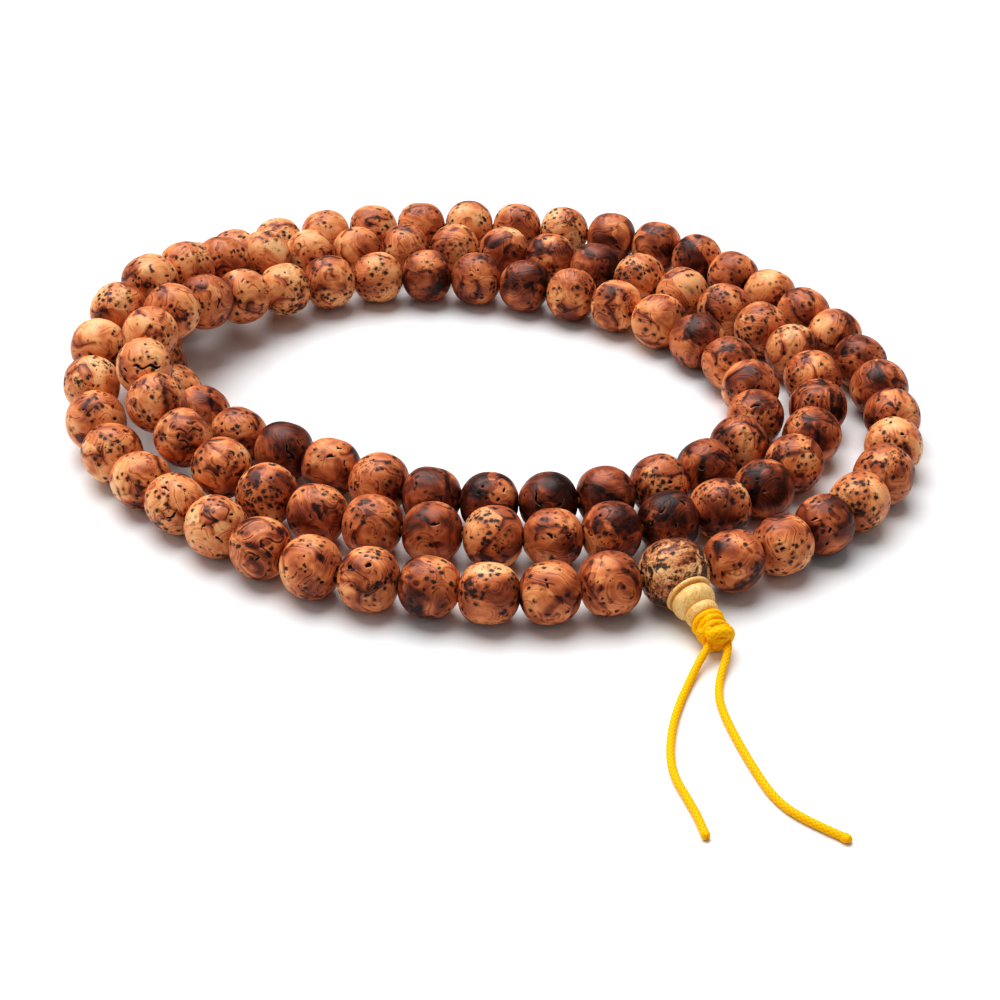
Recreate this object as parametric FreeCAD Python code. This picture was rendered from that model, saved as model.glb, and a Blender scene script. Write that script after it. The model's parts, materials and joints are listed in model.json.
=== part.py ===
"""A mala: 108 bodhi-seed beads and a three-hole guru bead on one nylon cord, laid in three turns.

Millimetres. X runs right and Y away along the surface that the strand lies on, Z up. The guru bead
is at the front right, its turned tower points forward, and the two tails of the cord lie in front.
"""

import FreeCAD
import Part

import math
import os
import random

V = FreeCAD.Vector

# The seeds.
BEADS = 108
SEED_DIAMETER = 9.9
SEED_SPREAD = 0.035  # how far a seed's diameter strays from the nominal one, as a share
SEED_OBLATE = 0.955  # length along the hole over diameter
BORE = 2.0
COUNTERSINK = 2.7
COUNTERSINK_DEPTH = 0.5
GAP = 0.24  # along the cord between two neighbours
SIDE_GAP = 0.15  # between two rows that lie against each other
SIZE_SEED = 4381

# The guru bead, the tower and the knot, on one axis that dips from the guru bead to the surface.
GURU_DIAMETER = 11.2
GURU_OBLATE = 0.97
GURU_CAVITY = 5.2
TOWER_DIP = math.radians(11.5)
TOWER_YAW = math.radians(8)  # from square to the row, towards the right
TOWER_BORE = 2.9
SEAT_CLEARANCE = 0.12
FLANGE_R = 3.3
FLANGE_END = 5.75
GROOVE_R = 2.8
BULB_START = 6.05
BULB_R = 3.35
BULB_WIDEST = 6.95
BULB_END = 8.9
NECK_R = 2.05
COLLAR_START = 9.1
COLLAR_R = 2.35
TOWER_END = 9.9
KNOT_GAP = 0.06
WRAPS = 4
WRAP_PITCH = 1.3
WRAP_R = 2.5
WRAP_VALLEY_R = 2.2

# The cord. Both its ends run side by side from the guru bead to the knot, and leave as the tails.
CORD_D = 1.2
LEG_OFFSET = 0.65
LEG_END = 12.2  # along the tower's axis from the guru bead's middle
CORD_PLAY = 0.28  # how far the cord may stray from a seed's axis

# Where the layout's zero lies from the middle of the finished part.
LAY_X = -0.27
LAY_Y = 2.18

# The strand's course, from the guru bead round three turns and back to it.
GURU_SPOT = (28.9, -56.0, 5.6)
COURSE = [
    GURU_SPOT,
    (9.5, -60.5, 5), (0, -61, 5), (-9, -59, 5), (-18, -57.5, 5), (-27, -55, 5), (-35, -50, 5),
    (-43, -44, 5), (-50, -38, 5), (-57, -31, 5), (-63.5, -23.5, 5.2), (-67.5, -14.5, 6), (-69.5, -5.5, 7.8),
    (-69.5, 4, 10), (-67, 12.5, 12.3), (-62.5, 20.5, 13.7), (-57, 28, 12.6), (-51.5, 35, 10.2), (-45, 42, 7.8),
    (-36, 46.5, 6.2), (-27, 50, 5.2), (-17, 51.5, 5), (-7, 51, 5), (3, 50.5, 5), (12, 47.5, 5),
    (21, 44, 5), (29, 39, 5), (37, 34, 5), (45, 27, 5), (51, 20.5, 5), (55.5, 12.5, 5),
    (58, 3.5, 5), (57.5, -6, 5), (55.5, -15, 5), (51.5, -24, 5), (45.5, -32, 5), (37.5, -37.5, 5),
    (28.5, -42, 5), (19.5, -44.5, 5), (10, -46.5, 5), (0.5, -46, 5), (-9.5, -45, 5), (-18.5, -43.5, 5),
    (-28, -40.5, 5.2), (-36.5, -36, 6), (-44, -30.5, 7.2), (-51, -24, 8.8), (-56.5, -16.5, 11), (-59.8, -8.3, 13),
    (-60, 1.2, 13.9), (-57.2, 10.4, 12.9), (-52, 19, 10.4), (-46, 26, 8), (-38.5, 32.5, 6.2), (-30, 37.5, 5.2),
    (-21, 40, 5), (-11.5, 40.5, 5), (-2, 39.5, 5), (7, 36.5, 5), (16, 33, 5), (24.5, 29, 5),
    (32.5, 22.5, 5), (38.5, 15.5, 5), (44, 7, 5), (46.8, -1.8, 5), (46.2, -11, 5), (42.3, -19.5, 5),
    (36.3, -26.5, 5), (28, -31, 5), (19, -35, 5), (9.5, -36.5, 5), (-0.5, -36.5, 5), (-10, -35.5, 5),
    (-18.5, -31, 5), (-26.5, -26, 5), (-34.5, -22, 5), (-43, -17.5, 5), (-50, -11, 5), (-56, -3, 5),
    (-59.5, 5.5, 5), (-61.5, 15, 5), (-63.2, 25, 5), (-61.8, 34.5, 5), (-57.3, 42.8, 5), (-50.2, 49, 5),
    (-41.8, 53.2, 5), (-33.5, 56, 5), (-24, 59, 5), (-14, 61.5, 5), (-4, 61.5, 5), (6, 61, 5),
    (15.5, 59, 5), (25, 57, 5), (34, 53.5, 5), (41.5, 47.5, 5), (47.5, 40, 5), (54, 33.5, 5),
    (59.5, 25.5, 5), (64, 17, 5), (67, 8, 5), (69.5, -0.5, 5), (70, -9, 5), (69, -18, 5),
    (66, -27, 5), (61, -35, 5), (54, -41.5, 5), (47, -47.5, 5), (38.5, -52, 5),
    GURU_SPOT,
]

# The tails, each from inside the knot to its sealed tip.
TAIL_Z = CORD_D / 2
LEFT_TAIL = [
    (34.3, -67.6, 2.7), (33.2, -69.5, 2.2), (31.5, -72.4, 1.3), (29.8, -76.3, TAIL_Z), (28.1, -81, TAIL_Z),
    (26.8, -86, TAIL_Z), (26.1, -91.4, TAIL_Z), (26.4, -96, TAIL_Z), (27.9, -100.3, TAIL_Z),
    (29.2, -104.2, TAIL_Z), (29.9, -107.7, TAIL_Z),
]
RIGHT_TAIL = [
    (36.1, -67.7, 2.4), (36.3, -69.7, 2.0), (35.4, -72.3, 1.3), (34.4, -75.6, TAIL_Z), (34, -79.3, TAIL_Z),
    (34.5, -83, TAIL_Z), (35.6, -87.6, TAIL_Z), (37.5, -94, TAIL_Z), (39.8, -100.3, TAIL_Z),
    (43.3, -104.3, TAIL_Z), (48.9, -107.9, TAIL_Z),
]


def lerp(p, q, t):
    return [a + (b - a) * t for a, b in zip(p, q)]


def curve_through(points, steps=24):
    """A closed Catmull-Rom curve through the points, as many short chords."""
    ring = points[:-1]
    n = len(ring)
    out = []
    for i in range(n):
        a, b, c, d = (ring[(i + k) % n] for k in (-1, 0, 1, 2))
        for s in range(steps):
            t = s / steps
            out.append([
                0.5 * (2 * q + (r - p) * t + (2 * p - 5 * q + 4 * r - w) * t * t + (3 * q - p - 3 * r + w) * t ** 3)
                for p, q, r, w in zip(a, b, c, d)
            ])
    out.append(list(points[-1]))
    return out


def step_along(curve, start, at, reach):
    """The first place past index `at` whose distance from `start` is `reach`, with its index, or None."""
    for k in range(at, len(curve) - 1):
        if math.dist(curve[k + 1], start) >= reach:
            low, high = 0.0, 1.0
            for _ in range(30):
                mid = (low + high) / 2
                if math.dist(lerp(curve[k], curve[k + 1], mid), start) < reach:
                    low = mid
                else:
                    high = mid
            return lerp(curve[k], curve[k + 1], high), k
    return None


def walk(curve, lengths, guru_half):
    """The meeting points between beads, and how many links fitted on the curve."""
    spot, at = step_along(curve, curve[0], 0, guru_half)
    joints = [spot]
    for length in lengths:
        found = step_along(curve, spot, at, length)
        if found is None:
            return joints, False
        spot, at = found
        joints.append(spot)
    return joints, math.dist(spot, curve[-1]) > guru_half


def relax(joints, lengths, guru_length, radii, guru_r, rounds=400):
    """Keeps each link's length, beads of other rows apart, and every bead on or over the surface."""
    count = len(lengths)
    size = radii + [guru_r]
    link = lengths + [guru_length]
    ends = [(i, i + 1) for i in range(count)] + [(count, 0)]

    def middle(i):
        a, b = ends[i]
        return lerp(joints[a], joints[b], 0.5)

    mids = [middle(i) for i in range(count + 1)]
    near = [
        (i, j)
        for i in range(count + 1)
        for j in range(i + 3, count + 1)
        if math.dist(mids[i], mids[j]) < 16 and (i + count + 1 - j) > 2
    ]
    for _ in range(rounds):
        for i, j in near:
            p, q = middle(i), middle(j)
            apart = math.dist(p, q)
            short = size[i] + size[j] + SIDE_GAP - apart
            if short > 0:
                push = [(a - b) / apart * short / 2 for a, b in zip(p, q)]
                for k in ends[i]:
                    joints[k] = [a + b for a, b in zip(joints[k], push)]
                for k in ends[j]:
                    joints[k] = [a - b for a, b in zip(joints[k], push)]
        for i, (a, b) in enumerate(ends):
            low = size[i] - (joints[a][2] + joints[b][2]) / 2
            if low > 0:
                joints[a][2] += low
                joints[b][2] += low
        for i, (a, b) in enumerate(ends):
            p, q = joints[a], joints[b]
            long = math.dist(p, q)
            fix = [(u - w) / long * (link[i] - long) / 2 for u, w in zip(p, q)]
            joints[a] = [u + s for u, s in zip(p, fix)]
            joints[b] = [u - s for u, s in zip(q, fix)]
    return joints


def string_beads():
    """Each seed's radius and half length, and the meeting points from the guru bead round to it."""
    rng = random.Random(SIZE_SEED)
    shares = [1 + SEED_SPREAD * rng.uniform(-1, 1) for _ in range(BEADS)]
    curve = curve_through(COURSE)
    guru_length = GURU_DIAMETER * GURU_OBLATE + GAP
    low, high = 0.9, 1.1
    for _ in range(30):
        scale = (low + high) / 2
        radii = [SEED_DIAMETER / 2 * share * scale for share in shares]
        lengths = [2 * r * SEED_OBLATE + GAP for r in radii]
        joints, fits = walk(curve, lengths, guru_length / 2)
        if fits:
            low = scale
        else:
            high = scale
    while len(joints) <= BEADS:
        joints.append(curve[-1])
    joints = relax(joints, lengths, guru_length, radii, GURU_DIAMETER / 2)
    print("seed scale %.4f" % scale)
    return radii, joints


def place(point):
    return V(point[0] + LAY_X, point[1] + LAY_Y, point[2])


def upright(shape, base, direction):
    """Moves a shape made about +Z so that its origin is at base and its +Z runs along direction."""
    shape.Placement = FreeCAD.Placement(base, FreeCAD.Rotation(V(0, 0, 1), direction))
    return shape


def turned(edges):
    """The solid that a closed profile of edges in the XZ plane sweeps about Z."""
    face = Part.Face(Part.Wire(Part.__sortEdges__(edges)))
    solid = face.revolve(V(0, 0, 0), V(0, 0, 1), 360)
    return Part.Solid(solid) if solid.ShapeType != "Solid" else solid


def line(p, q):
    return Part.LineSegment(V(p[0], 0, p[1]), V(q[0], 0, q[1])).toShape()


def arc(p, m, q):
    return Part.Arc(V(p[0], 0, p[1]), V(m[0], 0, m[1]), V(q[0], 0, q[1])).toShape()


def chain(points):
    return [line(p, q) for p, q in zip(points, points[1:])]


def seed(radius, half):
    """A slightly flattened ball about Z, drilled and countersunk at both ends."""
    mouth = COUNTERSINK / 2
    angle = math.acos(mouth / radius)
    height = half * math.sin(angle)
    skin = arc((mouth, -height), (radius, 0), (mouth, height))
    floor = height - COUNTERSINK_DEPTH
    hole = BORE / 2
    inside = chain([(mouth, height), (hole, floor), (hole, -floor), (mouth, -height)])
    return turned([skin] + inside)


def guru_bead(middle, row, axis):
    """The larger seed with a third hole along axis, and a cavity where the three drillings meet."""
    radius = GURU_DIAMETER / 2
    body = seed(radius, radius * GURU_OBLATE)
    cavity = Part.makeSphere(GURU_CAVITY / 2)
    # Both are turned so that their seams lie on the side away from the third hole.
    body.Placement = FreeCAD.Placement(middle, FreeCAD.Rotation(-axis, V(), row, "ZXY"))
    cavity.Placement = FreeCAD.Placement(middle, FreeCAD.Rotation(-axis, V(), row.cross(axis), "XZY"))
    third = Part.makeCylinder(TOWER_BORE / 2, GURU_DIAMETER, middle, axis)
    return body.cut(third).cut(cavity)


def tower():
    """The turned tower about Z, its height measured from the guru bead's middle."""
    seat = GURU_DIAMETER / 2 + SEAT_CLEARANCE
    hole = TOWER_BORE / 2
    rim = FLANGE_R - 0.15

    def on_seat(r):
        return (r, math.sqrt(seat * seat - r * r))

    edges = [arc(on_seat(hole), on_seat((hole + rim) / 2), on_seat(rim))]
    edges += [arc(on_seat(rim), (FLANGE_R, on_seat(rim)[1] + 0.4), (FLANGE_R - 0.12, FLANGE_END))]
    edges += chain([(FLANGE_R - 0.12, FLANGE_END), (GROOVE_R, FLANGE_END + 0.05), (GROOVE_R, BULB_START)])
    edges += [arc((GROOVE_R, BULB_START), (BULB_R, BULB_WIDEST), (NECK_R, BULB_END))]
    edges += chain([(NECK_R, BULB_END), (NECK_R, COLLAR_START)])
    edges += [arc((NECK_R, COLLAR_START), (COLLAR_R, (COLLAR_START + TOWER_END) / 2), (NECK_R, TOWER_END))]
    edges += chain([(NECK_R, TOWER_END), (hole + 0.3, TOWER_END), (hole, TOWER_END - 0.4), on_seat(hole)])
    return turned(edges)


def knot():
    """The wrapped knot about Z, a barrel of rounded wraps with a blind hole for both legs."""
    hole = TOWER_BORE / 2
    start = TOWER_END + KNOT_GAP
    end = start + WRAPS * WRAP_PITCH
    blind = LEG_END + KNOT_GAP
    edges = chain([(WRAP_VALLEY_R, end), (0, end), (0, blind), (hole, blind), (hole, start), (WRAP_VALLEY_R, start)])
    for k in range(WRAPS):
        low = start + k * WRAP_PITCH
        edges.append(arc((WRAP_VALLEY_R, low), (WRAP_R, low + WRAP_PITCH / 2), (WRAP_VALLEY_R, low + WRAP_PITCH)))
    return turned(edges)


def cord_path(points, play):
    """Straight runs joined by tangent arcs. No arc strays further than play[i] from its corner i."""
    edges = []
    radii = []
    last = points[0]
    for a, b, c, most in zip(points, points[1:], points[2:], play[1:]):
        before, after = (a - b), (c - b)
        run = min(before.Length, after.Length)
        before.normalize()
        after.normalize()
        half = (math.pi - before.getAngle(after)) / 2
        cut = 0.45 * run
        cut = min(cut, most / math.tan(half / 2))
        p, q = b + before * cut, b + after * cut
        radius = cut / math.tan(half)
        radii.append(radius)
        inward = before + after
        inward.normalize()
        m = b + inward * (radius / math.cos(half) - radius)
        edges.append(Part.LineSegment(last, p).toShape())
        edges.append(Part.Arc(p, m, q).toShape())
        last = q
    edges.append(Part.LineSegment(last, points[-1]).toShape())
    return Part.Wire(edges), radii


def cord(name, points, play=None):
    """A round cord along the route, with its length, volume and radii printed for checking."""
    path, radii = cord_path(points, play or [CORD_D] * len(points))
    direction = points[1] - points[0]
    ring = Part.Wire(Part.makeCircle(CORD_D / 2, points[0], direction))
    tube = path.makePipeShell([ring], True, False)
    area = math.pi * CORD_D ** 2 / 4
    print("%s length %.1f volume share %.4f" % (name, path.Length, tube.Volume / area / path.Length))
    print("%s smallest radii %s" % (name, " ".join("%.1f" % r for r in sorted(radii)[:6])))
    return tube


def save(name, shape):
    if not shape.isValid():
        raise ValueError(name + " isn't a valid shape")
    shape.exportStep("parts/" + name + ".step")


def turn_of(number):
    """Which of the strand's three turns a bead belongs to."""
    return 1 + (number > 36) + (number > 78)


def spins_alone(number):
    """Every second bead has a node and a hinge of its own, but for the three under the crossing."""
    return number % 2 == 0 and number not in (80, 82, 84)


def main():
    os.makedirs("parts", exist_ok=True)
    radii, joints = string_beads()
    points = [place(p) for p in joints]

    held = {1: [], 2: [], 3: []}
    for number in range(1, BEADS + 1):
        start, end = points[number - 1], points[number]
        radius = radii[number - 1]
        bead = upright(seed(radius, radius * SEED_OBLATE), (start + end) * 0.5, end - start)
        if spins_alone(number):
            save("bead_%03d" % number, bead)
        else:
            held[turn_of(number)].append(bead)
    for turn, beads in held.items():
        save("beads_turn_%d" % turn, Part.makeCompound(beads))

    middle = (points[-1] + points[0]) * 0.5
    row = points[0] - points[-1]
    row.normalize()
    front = V(-row.y, row.x, 0)
    front.normalize()
    front = FreeCAD.Rotation(V(0, 0, 1), math.degrees(TOWER_YAW)).multVec(front)
    axis = front * math.cos(TOWER_DIP) - V(0, 0, math.sin(TOWER_DIP))
    print("guru %.3f %.3f %.3f row %.3f %.3f %.3f" % (*middle, *row))
    save("guru_bead", guru_bead(middle, row, axis))
    save("guru_tower", upright(tower(), middle, axis))

    wraps = upright(knot(), middle, axis)
    for name, route in (("tail_left", LEFT_TAIL), ("tail_right", RIGHT_TAIL)):
        tail = cord(name, [place(p) for p in route])
        wraps = wraps.cut(tail)
        save(name, tail)
    save("guru_knot", wraps)

    aside = row - axis * row.dot(axis)
    aside.normalize()
    corner = row * (LEG_OFFSET / row.dot(aside))
    left_end = middle + axis * LEG_END + aside * LEG_OFFSET
    right_end = middle + axis * LEG_END - aside * LEG_OFFSET
    route = [left_end, middle + corner] + points + [middle - corner, right_end]
    play = [CORD_D, CORD_D] + [CORD_PLAY] * len(points) + [CORD_D, CORD_D]
    save("stringing_cord", cord("stringing_cord", route, play))


main()
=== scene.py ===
"""A mala: 108 polished bodhi-seed beads, a three-hole guru bead, a turned boxwood tower and one
braided nylon cord with two free tails, laid in three turns on a white surface.
"""

import json
import math
import random

import bpy
import numpy as np
from mathutils import Matrix, Vector


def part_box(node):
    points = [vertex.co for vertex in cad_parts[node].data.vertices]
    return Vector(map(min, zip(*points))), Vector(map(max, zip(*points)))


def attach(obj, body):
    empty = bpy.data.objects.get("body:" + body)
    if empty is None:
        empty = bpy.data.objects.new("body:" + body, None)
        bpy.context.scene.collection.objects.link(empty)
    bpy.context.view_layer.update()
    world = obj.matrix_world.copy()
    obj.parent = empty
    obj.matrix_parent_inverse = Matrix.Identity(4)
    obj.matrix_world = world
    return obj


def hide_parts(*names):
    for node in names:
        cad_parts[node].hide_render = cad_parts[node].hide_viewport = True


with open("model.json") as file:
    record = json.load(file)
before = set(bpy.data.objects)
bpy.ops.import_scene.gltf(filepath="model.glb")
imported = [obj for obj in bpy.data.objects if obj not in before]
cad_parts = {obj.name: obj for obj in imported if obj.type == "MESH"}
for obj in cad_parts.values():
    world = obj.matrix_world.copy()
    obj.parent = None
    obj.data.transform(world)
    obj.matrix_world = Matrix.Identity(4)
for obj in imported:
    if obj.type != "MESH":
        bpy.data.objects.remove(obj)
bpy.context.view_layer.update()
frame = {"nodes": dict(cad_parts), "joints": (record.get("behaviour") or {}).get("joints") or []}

MM = 0.001

# The camera: looking along +Y, this far below level, and turned a little about its own axis.
CAMERA_PLACE = (1.73, -294.82, 186.1)
CAMERA_DOWN = math.radians(34.735)
CAMERA_ROLL = math.radians(0.565)
CAMERA_LENS = 70.6

# The cord, in millimetres.
CORD_D = 1.2
BRAID_PITCH = 0.85  # along the cord for one strand to pass its whole cell
BRAID_CARRIERS = 6  # strands each way round
BRAID_DEPTH = 0.06
LAY_X = -0.27  # from the layout's zero to the part's
LAY_Y = 2.18
TAIL_Z = CORD_D / 2
LEFT_TAIL = [
    (34.3, -67.6, 2.7), (33.2, -69.5, 2.2), (31.5, -72.4, 1.3), (29.8, -76.3, TAIL_Z), (28.1, -81, TAIL_Z),
    (26.8, -86, TAIL_Z), (26.1, -91.4, TAIL_Z), (26.4, -96, TAIL_Z), (27.9, -100.3, TAIL_Z),
    (29.2, -104.2, TAIL_Z), (29.9, -107.7, TAIL_Z),
]
RIGHT_TAIL = [
    (36.1, -67.7, 2.4), (36.3, -69.7, 2.0), (35.4, -72.3, 1.3), (34.4, -75.6, TAIL_Z), (34, -79.3, TAIL_Z),
    (34.5, -83, TAIL_Z), (35.6, -87.6, TAIL_Z), (37.5, -94, TAIL_Z), (39.8, -100.3, TAIL_Z),
    (43.3, -104.3, TAIL_Z), (48.9, -107.9, TAIL_Z),
]

# The seeds.
PITCH = 9.54
SEGMENTS = 128  # points round a bead and along it, before its own factor
RINGS = 76
FINE_MARKED = 1.30  # that factor for beads with listed holes or cracks, and for the others
FINE_PLAIN = 0.85
BORE_R = 1.0
MOUTH_R = 1.3  # where the outside meets the countersink
BORE_EASE = 1.12  # the bore widens this much towards its mouth
BARREL = 2.28  # 2 is an ellipse, more is squarer in the shoulders
LUMP = 0.085  # millimetres of unevenness
SWELL = 1.03  # the drilled seeds nearly touch on the cord
CLOSE = (9, 40, 42, 46, 71, 73)  # these lie against another turn, and need room to turn
BEAD_GAP = 0.08  # between two beads on the cord, on average
BEAD_SHAPE = 0.91  # an average bead's length as a share of its width
BEAD_VARIES = 0.3  # how much of a bead's own difference from that shape is kept
LIGHTEN = 0.09  # added to every bead's lightness
BACK_PAINTED_LIGHT = 0.0006  # painted light: more lightness for each millimetre towards the back, nearer the light
LEFT_PAINTED_LIGHT = 0.0003  # painted light: more lightness for each millimetre to the left, nearer the light
LOOK_SEED = 9215
SEED_STEP = 17
FIRST_WAY = (-0.954, -0.299, 0.0)  # from the guru bead to the first bead
FIRST_REACH = 10.3

# The guru bead and the knot, in millimetres; heights run along the tower's axis.
GURU_DIAMETER = 11.2
GURU_OBLATE = 0.97
GURU_MOUTH_R = 1.35
GURU_FINE = 1.5
GURU_LOOK = (0.14, 0.26, 1.0, 0.6)  # as in LOOKS
GURU_MOTTLE = 1.5
TOWER_SEED = 77
TOWER_AROUND = 160
WRAP_TURNS = 3.4
WRAP_FIRST = 10.75
WRAP_RISE = 1.08
WRAP_R = 2.62
WRAP_START = -0.6  # angle where the wraps begin
CORE_LOW = 10.1
CORE_LONG = 4.4

# Light: where each sun stands, its strength and its spread in degrees.
WORLD_LIGHT = 0.24
WORLD_SEEN = 1.2
KEY_PLACE = (-0.22, 0.45, 1.0)
KEY_LIGHT = 3.15
KEY_SPREAD = 58
SIDE_PLACE = (-0.9, -0.1, 0.45)
SIDE_LIGHT = 0.3
SIDE_SPREAD = 40
FLOOR_HALF = 3000.0
FLOOR_Z = -0.02

# What each bead looks like: g golden, o orange, r red-brown, m middle brown, d dark, p peppered,
# b banded.
KINDS = (
    "rrpmmobgoogg" "ggoogogggoor" "rdpooorobrpr" "pdrrprropobo" "ggorooopdrrr"
    "oodrrrrdpddd" "rrddrroooooo" "oooorrogrdrr" "rrorrogppdor"
)
LOOKS = {  # lightness, dark clouding, share of dots, strength of the layers
    "g": (0.16, 0.18, 0.66, 0.8),
    "o": (0.07, 0.27, 0.66, 0.8),
    "r": (-0.06, 0.38, 0.60, 0.7),
    "d": (-0.17, 0.52, 0.55, 0.6),
    "p": (0.05, 0.28, 1.05, 0.5),
    "m": (-0.01, 0.36, 0.72, 0.7),
    "b": (0.05, 0.42, 0.50, 1.4),
}

# Holes and cracks on the side that faces the camera: bead, kind, right, up (shares of the radius),
# size in millimetres, and a crack's slope in degrees.
MARKS = [
    (1, "crack", -0.37, 0.05, 0.6, 50), (2, "crack", -0.05, 0.2, 1.0, -65),
    (2, "hole", -0.12, 0.36, 0.25, 0), (5, "hole", -0.6, 0.37, 0.5, 0), (5, "hole", 0, 0.43, 0.5, 0),
    (5, "hole", 0.77, 0.33, 0.3, 0), (5, "hole", 0.5, -0.1, 0.32, 0), (5, "crack", -0.27, 0.8, 0.8, -20),
    (5, "crack", 0.03, 0.2, 0.9, 70), (6, "hole", -0.1, 0.65, 0.3, 0), (6, "hole", -0.2, 0.33, 0.28, 0),
    (6, "hole", -0.37, -0.6, 0.25, 0), (6, "hole", 0.35, -0.45, 0.35, 0),
    (6, "hole", -0.17, -0.15, 0.25, 0), (7, "crack", -0.1, -0.3, 1.0, 40), (7, "hole", -0.8, 0.1, 0.28, 0),
    (7, "hole", 0.33, 0.57, 0.22, 0), (8, "crack", -0.4, 0, 1.0, 20), (8, "crack", 0.1, -0.4, 1.6, -35),
    (8, "crack", 0.45, 0.35, 0.9, 15), (9, "crack", -0.35, 0.5, 1.9, -42),
    (9, "crack", -0.1, -0.35, 2.4, 42), (12, "hole", 0.65, 0.07, 0.45, 0),
    (12, "hole", -0.4, 0.37, 0.22, 0), (16, "crack", 0.6, 0.2, 0.9, 10), (18, "hole", -0.5, 0.1, 0.35, 0),
    (33, "hole", 0, 0.35, 0.24, 0), (33, "hole", -0.35, 0.27, 0.26, 0), (33, "crack", 0.5, 0.2, 0.8, -70),
    (36, "crack", 0.08, -0.1, 0.9, 10), (36, "hole", -0.62, 0, 0.3, 0), (36, "hole", -0.2, 0.3, 0.24, 0),
    (37, "crack", 0, 0.33, 0.6, -20), (37, "crack", 0.72, 0.05, 0.7, 70), (38, "crack", -0.6, 0.5, 1.1, 50),
    (38, "crack", -0.2, 0.37, 1.4, 45), (38, "crack", 0.42, 0.6, 1.3, -35),
    (38, "crack", -0.5, -0.05, 1.3, 55), (38, "crack", 0.25, -0.1, 1.0, -70),
    (39, "hole", -0.4, 0.7, 0.24, 0), (39, "hole", -0.37, 0.5, 0.26, 0), (39, "hole", -0.65, -0.1, 0.22, 0),
    (40, "crack", -0.1, 0.05, 1.3, -35), (40, "crack", 0.12, 0.08, 0.9, 62),
    (40, "crack", 0.55, 0.12, 0.8, 40), (40, "crack", 0.5, 0.0, 0.6, -60),
    (42, "crack", 0.08, 0.27, 1.6, -3), (43, "crack", -0.65, 0, 1.1, 60),
    (44, "crack", -0.2, -0.1, 0.8, -70), (45, "crack", -0.57, 0.12, 1.1, 30),
    (45, "hole", 0.13, 0.5, 0.24, 0), (46, "hole", 0.2, 0.1, 0.2, 0), (47, "crack", -0.2, 0, 1.4, 55),
    (49, "crack", 0.1, 0.0, 4.6, 3), (49, "crack", -0.65, -0.12, 1.0, -50),
    (51, "crack", 0.1, 0.05, 0.9, -70), (52, "crack", 0.5, 0.0, 2.2, -85),
    (53, "crack", 0.0, 0.55, 1.0, 60), (58, "hole", -0.25, 0.3, 0.24, 0), (58, "hole", 0.05, 0.32, 0.24, 0),
    (58, "hole", 0.0, -0.6, 0.26, 0), (61, "hole", 0.3, 0.2, 0.26, 0), (61, "crack", 0.3, -0.4, 0.8, -50),
    (66, "crack", 0.0, 0.4, 1.8, 12), (68, "hole", -0.15, 0, 0.42, 0), (68, "hole", 0.15, 0.72, 0.24, 0),
    (68, "hole", 0.58, 0.55, 0.24, 0), (69, "hole", 0.35, 0.1, 0.42, 0), (70, "hole", -0.5, 0.05, 0.26, 0),
    (70, "hole", 0.07, 0.03, 0.26, 0), (71, "crack", -0.37, 0.1, 2.6, -68),
    (71, "crack", 0.4, -0.03, 1.9, 42), (71, "hole", -0.78, 0.2, 0.28, 0),
    (72, "hole", -0.22, 0.5, 0.24, 0), (72, "hole", -0.34, 0.27, 0.26, 0),
    (72, "hole", -0.1, 0.12, 0.26, 0), (72, "crack", 0.5, 0.4, 1.0, 72), (72, "crack", 0.28, 0.08, 0.8, 40),
    (73, "hole", -0.5, 0.4, 0.26, 0), (73, "hole", 0.6, 0.2, 0.26, 0), (75, "crack", 0.27, 0.6, 0.9, 30),
    (75, "crack", 0, 0.33, 1.7, 25), (75, "crack", 0.45, 0.1, 1.0, -70),
    (76, "crack", 0.15, 0.05, 2.5, -65), (76, "crack", 0.5, 0.3, 1.1, -60),
    (76, "crack", 0.3, -0.2, 1.2, -60), (77, "hole", -0.6, 0.4, 0.34, 0), (77, "hole", -0.05, 0.07, 0.3, 0),
    (77, "hole", 0.35, 0.3, 0.2, 0), (103, "hole", 0.28, 0.4, 0.4, 0), (104, "crack", -0.5, 0.55, 1.9, 35),
    (105, "hole", 0.3, 0.72, 0.28, 0), (106, "crack", -0.3, 0.17, 1.3, 0),
    (106, "crack", 0.22, -0.2, 1.0, 60), (106, "crack", 0.1, -0.6, 0.9, 80),
    (107, "hole", -0.08, 0.15, 0.26, 0), (107, "hole", 0.02, -0.1, 0.32, 0),
    (107, "hole", -0.1, -0.45, 0.26, 0), (107, "hole", 0.72, -0.3, 0.36, 0),
    (107, "crack", 0.6, 0.35, 0.9, 20), (108, "hole", -0.4, 0.1, 0.2, 0),
]


# ---------------------------------------------------------------- camera and stage


def make_camera():
    data = bpy.data.cameras.new("view")
    camera = bpy.data.objects.new("view", data)
    bpy.context.scene.collection.objects.link(camera)
    data.lens = CAMERA_LENS
    data.sensor_width = 36
    data.clip_start = 0.01
    data.clip_end = 10
    place = Matrix.Translation(Vector(CAMERA_PLACE) * MM)
    pitch = Matrix.Rotation(math.pi / 2 - CAMERA_DOWN, 4, "X")
    camera.matrix_world = place @ pitch @ Matrix.Rotation(CAMERA_ROLL, 4, "Z")
    bpy.context.scene.camera = camera
    return camera


# ---------------------------------------------------------------- meshes


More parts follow.
